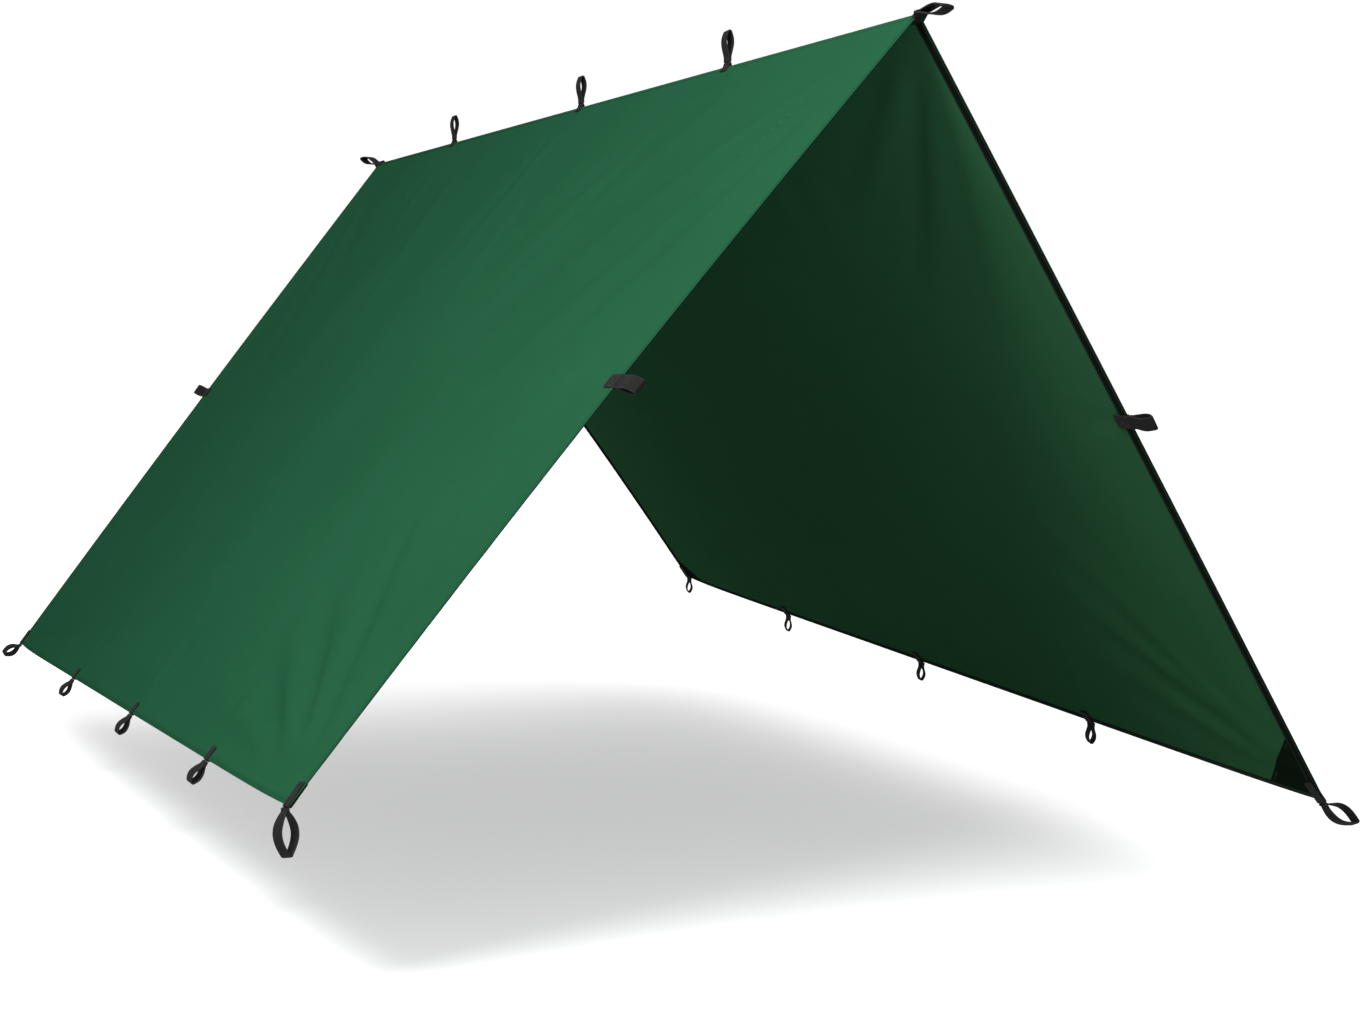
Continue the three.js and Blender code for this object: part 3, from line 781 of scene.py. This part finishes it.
def add_patch(side, end):
    """Triangle of black cloth inside one eave corner, tucked under the edge of the tapes."""
    steps = PATCH_STEPS
    rise = EAVE_TAPE_WIDTH + TAPE_EDGE_INSET + TAPE_JOIN_GAP - PATCH_TUCK
    inset = TAPE_WIDTH + TAPE_EDGE_INSET + TAPE_JOIN_GAP - PATCH_TUCK
    up_slope, along_eave = PATCHES[end]
    rows = np.linspace(0, 1, steps + 1)
    index = {}
    points_top, points_bottom, uvs = [], [], []
    for i in range(steps + 1):
        for j in range(steps + 1 - i):
            up = rise + (up_slope - rise) * rows[i]
            across = inset + (along_eave - inset) * rows[j]
            from_long_side = (1 - rows[i] - rows[j]) * 110 * MM
            seam = 0.3 * MM * math.exp(-((from_long_side - 8 * MM) / (3 * MM)) ** 2)
            index[i, j] = len(points_top)
            points_top.append(corner_point(side, end, across, up, TAPE_TOP + 0.05 * MM))
            points_bottom.append(corner_point(side, end, across, up, TAPE_TOP - PATCH_THICKNESS + seam))
            uvs.append((across, up))
    faces = triangle_faces(index, steps, len(points_top))
    if (side == "left") ^ (end == "front"):
        faces = [tuple(reversed(f)) for f in faces]
    part = Part(f"corner_patch_{side}_{end}")
    part.add(points_top + points_bottom, faces, uvs + uvs)
    start, stop = (corner_point(side, end, across, up, TAPE_TOP - PATCH_THICKNESS) for across, up in
                   ((along_eave - 14 * MM, rise + 4 * MM), (inset + 4 * MM, up_slope - 12 * MM)))
    normal = -panel_normal(side, 0.95, 0.03 if end == "front" else 0.97)
    part.add(*stitch_line(start, stop, normal), index=1)
    patch = part.build([PATCH, THREAD])
    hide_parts(f"patch_{side}_{end}")
    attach(patch, f"{side}_panel")
    return patch


def corner_point(side, end, across, up, height):
    """Point near an eave corner: `across` from the gable edge, `up` from the eave."""
    along = across / RUN if end == "front" else 1 - across / RUN
    return cloth_point(side, 1 - up / SLOPE, along, height)


def triangle_faces(index, steps, count):
    """Faces of a closed triangular plate whose two sides hold `count` points each."""
    faces = []
    for i in range(steps):
        for j in range(steps - i):
            a, b, c = index[i, j], index[i, j + 1], index[i + 1, j]
            faces += [(a, b, c), (a + count, c + count, b + count)]
            if j < steps - i - 1:
                d = index[i + 1, j + 1]
                faces += [(b, d, c), (b + count, c + count, d + count)]
    border = [index[0, j] for j in range(steps + 1)]
    border += [index[i, steps - i] for i in range(1, steps + 1)]
    border += [index[i, 0] for i in range(steps - 1, 0, -1)]
    for k, a in enumerate(border):
        b = border[(k + 1) % len(border)]
        faces.append((b, a, a + count, b + count))
    return faces


# ---- Webbing ----

def rounded_path(corners, radius, steps=5):
    """Polyline through the corners with each inner corner rounded."""
    corners = [np.array(c, float) for c in corners]
    path = [corners[0]]
    for before, corner, after in zip(corners, corners[1:], corners[2:]):
        a, b = unit(before - corner), unit(after - corner)
        cut = min(radius, np.linalg.norm(before - corner) * 0.49, np.linalg.norm(after - corner) * 0.49)
        start, end = corner + a * cut, corner + b * cut
        for k in range(steps + 1):
            t = k / steps
            path.append(start * (1 - t) ** 2 + 2 * corner * t * (1 - t) + end * t ** 2)
    path.append(corners[-1])
    return subdivided(path, 5 * MM)


def subdivided(path, step):
    fine = [path[0]]
    for a, b in zip(path, path[1:]):
        count = max(1, int(math.ceil(np.linalg.norm(b - a) / step)))
        fine += [a + (b - a) * (k + 1) / count for k in range(count)]
    return fine


def box_stitch(part, at, out, across, normal, tail, height, margin=4 * MM):
    """Stitched box on one face of a sewn tail, with a cross inside it when the tail is longer than 30
    mm.
    """
    x0, x1 = -tail + margin, -margin * 0.7
    w = STRAP_WIDTH / 2 - margin
    corners = [at + out * x + across * z + normal * height
               for x, z in ((x0, -w), (x1, -w), (x1, w), (x0, w))]
    lines = [(corners[k], corners[(k + 1) % 4]) for k in range(4)]
    if tail > 30 * MM:
        lines += [(corners[0], corners[2]), (corners[1], corners[3])]
    for start, end in lines:
        part.add(*stitch_line(start, end, normal), index=1)


def build_webbing(part, node, body):
    """Builds a webbing piece in the place of its solid; it moves with `body`."""
    piece = part.build([WEBBING, THREAD])
    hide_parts(node)
    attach(piece, body)


def add_tab(name, body, at, out, up, tail, gap):
    """Strap sewn to both faces of the hem and folded round its edge."""
    across = np.cross(out, up)
    reach = gap + STRAP_THICKNESS / 2
    path = rounded_path([(-tail, TAIL_OUTER_MID), (reach, TAIL_OUTER_MID),
                         (reach, TAIL_INNER_MID), (-tail, TAIL_INNER_MID)], ROOT_RADIUS)
    part = Part(f"strap_{name}")
    part.add(*ribbon(path, STRAP_THICKNESS, at, (out, up, across)))
    proud = STRAP_THICKNESS / 2
    box_stitch(part, at, out, across, up, tail, TAIL_OUTER_MID + proud)
    box_stitch(part, at, out, across, -up, tail, -TAIL_INNER_MID + proud)
    build_webbing(part, f"tab_{name}", body)


def eye_half(length, bulge, peak, x):
    s = max(0.0, (x - NECK) / (length - NECK))
    swell = math.sin(math.pi * min(1.0, s) ** (math.log(0.5) / math.log(peak)))
    base = ROOT_RADIUS * (1 - s) + TIP_HALF * s
    return base + swell * (bulge / 2 - base)


def eye_path(length, bulge, peak, lean):
    """Middle line of the strap: out along one leg, round the tip and back along the other."""
    half = EYE_THICKNESS / 2
    legs = []
    tip = length - TIP_HALF
    for sign, factor in ((1, 1 + lean), (-1, 1 - lean)):
        leg = []
        for k in range(27):
            x = EYE_START + (tip - EYE_START) * k / 26
            y = max(eye_half(length, bulge, peak, x) - half, half + 0.08 * MM)
            leg.append(np.array([x, sign * y * (1 + (factor - 1) * min(1, max(0, x / length)))]))
        legs.append(leg)
    radius = legs[0][-1][1]
    turn = [np.array([tip + (length - half - tip) * math.sin(a), radius * math.cos(a)])
            for a in (math.pi * k / 8 for k in range(1, 8))]
    return legs[0] + turn + legs[1][::-1]


JOINTS = {j["name"]: j for j in frame["joints"]}
MOUNTS = {m["name"]: m for m in frame["record"]["mounts"]}


# How far each free eye is turned about its length past its root, in degrees.
EYE_TURNS = {
    "left_eave": -9, "right_eave": 14, "left_corner_front": -10, "left_corner_back": -18,
    "right_corner_front": -9, "right_corner_back": 12,
}


def turned_points(verts, pivot, axes, turn, length):
    """Points of an eye turned about its length; the turn grows over its first third."""
    out, up, across = axes
    away = np.asarray(verts) - pivot
    x, y, z = away @ out, away @ up, away @ across
    angle = math.radians(turn) * smooth(x / (0.35 * length))
    y, z = y * np.cos(angle) - z * np.sin(angle), y * np.sin(angle) + z * np.cos(angle)
    return pivot + x[:, None] * out + y[:, None] * up + z[:, None] * across


def add_eye(name):
    """Free eye of a strap, from its hinge at the edge of the cloth to its tip."""
    joint, mount = JOINTS[f"{name}_flop"], MOUNTS[f"{name}_pull"]
    pivot, across = np.array(joint["pos_m"]), unit(np.array(joint["axis"]))
    tip, out = np.array(mount["pos_m"]), unit(np.array(mount["axis"]))
    up = np.cross(across, out)
    length = float(np.dot(tip - pivot, out))
    bulge, peak = next(EYE_SHAPES[key] for key in EYE_SHAPES if key in name)
    rng = random.Random(name)
    slide, twist = rng.uniform(-0.9, 0.9) * MM, math.radians(rng.uniform(-4, 4))
    lean = rng.uniform(-0.1, 0.1)

    def shift(t):
        amount = math.sin(math.pi * t) ** 2
        return slide * amount, twist * amount

    part = Part(f"eye_{name}")
    path = eye_path(length, bulge, peak, lean)
    axes = (out, up, across)
    verts, faces, uvs = ribbon(path, EYE_THICKNESS, pivot, axes, shift)
    turn = next((EYE_TURNS[key] for key in EYE_TURNS if name.startswith(key)), 0)
    part.add(turned_points(verts, pivot, axes, turn, length), faces, uvs)
    part.add(*root_bead(pivot, axes))
    for side in (1, -1):
        for x in (1.2 * MM, 3.6 * MM):
            a = pivot + out * x + up * side * (ROOT_RADIUS - 0.02 * MM)
            w = across * (STRAP_WIDTH / 2 - 2.5 * MM)
            part.add(*stitch_line(a - w, a + w, up * side, pitch=2.2 * MM), index=1)
    build_webbing(part, f"loop_{name}", f"loop_{name}")


def root_bead(pivot, axes):
    """Rolled webbing at the hinge, filling the fold of the sewn tails."""
    out, up, across = axes
    radius, half, sides = BEAD_RADIUS, STRAP_WIDTH / 2 - 0.3 * MM, 14
    verts, uvs = [], []
    for z, share in ((-half, 0.8), (-half + 0.5 * MM, 1.0), (half - 0.5 * MM, 1.0), (half, 0.8)):
        for k in range(sides):
            angle = 2 * math.pi * k / sides
            x, y = radius * share * math.cos(angle), radius * share * math.sin(angle)
            verts.append(pivot + out * x + up * y + across * z)
            uvs.append((angle * radius, z))
    return verts, tube_faces(4, sides), uvs


def add_edge_strap(name, side, down, along, tail):
    """Sewn tails of a strap whose hinge lies along its width."""
    across = unit(np.array(JOINTS[f"{name}_flop"]["axis"]))
    up = panel_normal(side, down, along)
    up = unit(up - across * np.dot(up, across))
    out = np.cross(up, across)
    at = panel_point(side, down, along)
    pivot = np.array(JOINTS[f"{name}_flop"]["pos_m"])
    gap = float(np.dot(pivot - at, out)) - STRAP_THICKNESS - EYE_CLEAR
    add_tab(name, f"{side}_panel", at, out, up, tail, gap)
    add_eye(name)


def add_panel_straps(side):
    for station, middle in zip(STATIONS[side], MIDDLE_NAMES):
        add_edge_strap(f"{side}_eave_{middle}", side, 1.0, station, TAIL_EAVE)
    length = np.linalg.norm(EAVES[side]["back"] - EAVES[side]["front"])
    inset = STRAP_WIDTH / 2 / length
    for end, along in (("front", inset), ("back", 1 - inset)):
        add_edge_strap(f"{side}_corner_{end}", side, 1.0, along, TAIL_CORNER)
    for end, along in (("front", 0.0), ("back", 1.0)):
        add_edge_strap(f"{side}_gable_{end}", side, GABLE_STATION, along, TAIL_GABLE)


# ---- Ridge ----

def add_ridge_seam():
    """Felled seam: a folded strip over the ridge that dips where a row of stitches runs down each side.
    """
    reach = [k * MM for k in (8.5, 8.0, 6.6, 6.0, 5.4, 3.4, 1.6)]  # down each slope
    rise = [0.5, 1.0, 1.0, 0.72, 1.0, 1.05, 1.1]  # share of the thickness; it dips at the stitches
    slopes = {side: ridge_slope(side) for side in ("left", "right")}
    section_top, section_low = [], []
    for side, order in (("left", 1), ("right", -1)):
        s = slopes[side]
        n = panel_normal(side, 0.01, 0.5)
        top = [s * d + n * (CLOTH_HALF + r * 0.9 * MM) for d, r in zip(reach, rise)]
        low = [s * d - n * (CLOTH_HALF + 0.7 * MM * r) for d, r in zip(reach, rise)]
        section_top.append(top[::order])
        section_low.append(low[::order])
    crest = np.array([0, 0, max(section_top[0][-1][2], section_top[1][0][2]) + 0.25 * MM])
    valley = np.array([0, 0, section_low[0][-1][2] - 0.1 * MM])
    top = np.array(section_top[0] + [crest] + section_top[1])
    low = np.array(section_low[0] + [valley] + section_low[1])
    length = RIDGE_BACK[1] - RIDGE_FRONT[1]
    ys = np.linspace(0.6 * MM, length - 0.6 * MM, 240)
    pucker = 0.08 * MM * np.sin(ys * 190 + 2 * np.sin(ys * 13))
    base = RIDGE_FRONT + np.array([0, 1, 0]) * ys[:, None]
    lift = pucker[:, None] * np.array([0, 0, 1.0])
    outer = top[:, None, :] * np.array([1, 0, 1]) + base + lift
    inner = low[:, None, :] * np.array([1, 0, 1]) + base + lift
    width = np.concatenate([[0], np.cumsum(np.linalg.norm(np.diff(top, axis=0), axis=1))])
    v, u = np.meshgrid(width, ys, indexing="ij")
    uv = np.stack([u, v + 0.3], -1)
    seam = slab("seam_strip", outer, inner, uv, [GREEN_OUTER, GREEN_UNDER], False, under=True)
    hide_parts("ridge_seam")
    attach(seam, "ridge")
    return seam


def add_ridge_saddle(name, station):
    """Webbing pad folded over the ridge with a bar-tacked hump under its eye."""
    pivot = np.array(JOINTS[f"{name}_flop"]["pos_m"])
    at = RIDGE_FRONT * (1 - station) + RIDGE_BACK * station
    along, up, side = np.array([1.0, 0, 0]), np.array([0, 0, 1.0]), np.array([0, -1.0, 0])
    slopes = [ridge_slope(side_name, station) for side_name in ("left", "right")]
    lift = 2.7 * MM
    legs = [(s[0] * SADDLE_LEG, s[2] * SADDLE_LEG + lift) for s in slopes]
    top = pivot[2] - at[2] - ROOT_RADIUS - STRAP_THICKNESS / 2
    path = rounded_path([legs[0], (-2.4 * MM, lift - 0.6 * MM), (-1.6 * MM, top), (1.6 * MM, top),
                         (2.4 * MM, lift - 0.6 * MM), legs[1]], 1.6 * MM)
    part = Part(f"strap_{name}")
    part.add(*ribbon(path, STRAP_THICKNESS, at, (along, up, side)))
    for s, leg in zip(slopes, legs):
        normal = np.array([-s[2], 0, s[0]]) * (1 if s[0] > 0 else -1)
        for share in (0.5, 0.85):
            centre = at + s * SADDLE_LEG * share + up * lift + normal * STRAP_THICKNESS / 2
            w = side * (STRAP_WIDTH / 2 - STITCH_INSET)
            part.add(*stitch_line(centre - w, centre + w, normal), index=1)
    build_webbing(part, f"tab_{name}", "ridge")
    add_eye(name)


def bent_over_ridge(verts, at, out, reach):
    """Lays a flat strap over the ridge; it opens out flat again towards its eye."""
    bent = []
    for vert in np.asarray(verts):
        away = vert - at
        slope = ridge_slope("left" if away[0] < 0 else "right")
        share = 1 - smooth((float(away @ out) + 1 * MM) / (reach + 1 * MM))
        flat = np.array([away[0], 0, 0])
        laid = abs(away[0]) * np.array([slope[0], 0, slope[2]]) / math.hypot(slope[0], slope[2])
        bent.append(vert + (laid - flat) * share)
    return np.array(bent)


def add_ridge_end_strap(name, at, sign):
    """Strap laid over the ridge, folded round its end and back beneath it."""
    out, up = np.array([0, sign, 0.0]), np.array([0, 0, 1.0])
    across = np.cross(out, up)
    pivot = np.array(JOINTS[f"{name}_flop"]["pos_m"])
    outer, inner = TAIL_RIDGE_END["front" if sign < 0 else "back"]
    reach = float(np.dot(pivot - at, out)) - EYE_CLEAR - STRAP_THICKNESS / 2
    middle = float(pivot[2] - at[2])
    above, below, fold = 4.6 * MM, -3.4 * MM, 1.3 * MM
    path = rounded_path([(-outer, above), (0, above), (reach, middle + fold),
                         (reach, middle - fold), (0, below), (-inner, below)], 1.2 * MM)
    part = Part(f"strap_{name}")
    verts, faces, uvs = ribbon(path, STRAP_THICKNESS, at, (out, up, across))
    part.add(bent_over_ridge(verts, at, out, reach), faces, uvs)
    stitches = Part("ridge_end_stitches")
    for x in (-outer + 4 * MM, -2.5 * MM):
        a = at + out * x + up * (above + STRAP_THICKNESS / 2)
        w = across * (STRAP_WIDTH / 2 - STITCH_INSET)
        for end in (-1, 1):
            stitches.add(*stitch_line(a + w * 0.12 * end, a + w * end, up))
    part.add(bent_over_ridge(stitches.verts, at, out, reach), stitches.faces, stitches.uvs, 1)
    build_webbing(part, f"tab_{name}", "ridge")
    add_eye(name)


# ---- Studio ----

CAMERA_PLACE = (-1.7357, -4.8274, 0.7694)
CAMERA_AZIMUTH, CAMERA_ELEVATION, CAMERA_ROLL = -22.666, 3.317, 0.104  # degrees
CAMERA_LENS, CAMERA_SENSOR = 65.1, 36
KEY_LIGHT = {"location": (-2.3, -2.5, 3.0), "target": (-0.45, -1.0, 0.85), "size": 1.7, "power": 290}
OVERHEAD_STRENGTH, OVERHEAD_ANGLE = 1.25, 105
SKY_STRENGTH = 1.03
FLOOR_HALF = 60.0
FLOOR_GLOW = 0.5


def add_camera():
    camera = bpy.data.objects.new("camera", bpy.data.cameras.new("camera"))
    bpy.context.scene.collection.objects.link(camera)
    azimuth, elevation = math.radians(CAMERA_AZIMUTH), math.radians(CAMERA_ELEVATION)
    roll = math.radians(CAMERA_ROLL)
    back = Vector((math.sin(azimuth) * math.cos(elevation),
                   -math.cos(azimuth) * math.cos(elevation), math.sin(elevation)))
    right = Vector((math.cos(azimuth), math.sin(azimuth), 0))
    up = back.cross(right)
    turned_right = right * math.cos(roll) + up * math.sin(roll)
    turned_up = up * math.cos(roll) - right * math.sin(roll)
    camera.matrix_world = Matrix((turned_right, turned_up, back)).transposed().to_4x4()
    camera.location = CAMERA_PLACE
    camera.data.sensor_width = CAMERA_SENSOR
    camera.data.lens = CAMERA_LENS
    camera.data.clip_end = 200
    bpy.context.scene.camera = camera


def add_area_light(name, location, target, size, power):
    light = bpy.data.objects.new(name, bpy.data.lights.new(name, "AREA"))
    bpy.context.scene.collection.objects.link(light)
    light.data.shape = "DISK"
    light.data.size = size
    light.data.energy = power
    light.location = location
    light.rotation_euler = (Vector(target) - Vector(location)).to_track_quat("-Z", "Y").to_euler()


def add_floor():
    part = Part("floor")
    half = FLOOR_HALF
    part.add([(-half, -half, FLOOR_Z), (half, -half, FLOOR_Z), (half, half, FLOOR_Z),
              (-half, half, FLOOR_Z)], [(0, 1, 2, 3)])
    s = Shader("floor_white", Roughness=0.9, Specular_IOR_Level=0.0,
               Emission_Color=(1, 1, 1, 1), Emission_Strength=FLOOR_GLOW)
    s.finish(s.colour(s.noise(3.0), (0.436, 0.444, 0.438), (0.456, 0.464, 0.458)))
    part.build([s.material])


def add_studio():
    """Pale floor, white surroundings, a soft key light and a very wide overhead light."""
    add_floor()
    world = bpy.data.worlds.new("studio")
    world.use_nodes = True
    background = world.node_tree.nodes["Background"]
    background.inputs[0].default_value = (1, 1, 1, 1)
    background.inputs[1].default_value = SKY_STRENGTH
    bpy.context.scene.world = world
    add_area_light("key", **KEY_LIGHT)
    sky = bpy.data.objects.new("overhead", bpy.data.lights.new("overhead", "SUN"))
    bpy.context.scene.collection.objects.link(sky)
    sky.data.energy = OVERHEAD_STRENGTH
    sky.data.angle = math.radians(OVERHEAD_ANGLE)
    bpy.context.scene.view_settings.view_transform = "Standard"
    bpy.context.scene.view_settings.look = "None"


# ---- Assembly ----

add_camera()
add_studio()
add_ridge_seam()
for middle, share in zip(MIDDLE_NAMES, STATIONS["ridge"]):
    add_ridge_saddle(f"ridge_{middle}", share)
add_ridge_end_strap("ridge_end_front", RIDGE_FRONT, -1)
add_ridge_end_strap("ridge_end_back", RIDGE_BACK, 1)
for which in ("left", "right"):
    cloth = add_sheet(which)
    sewn_on = [add_tape(which, edge) for edge in ("front", "back", "eave")]
    sewn_on += [add_patch(which, end) for end in ("front", "back")]
    add_panel_straps(which)
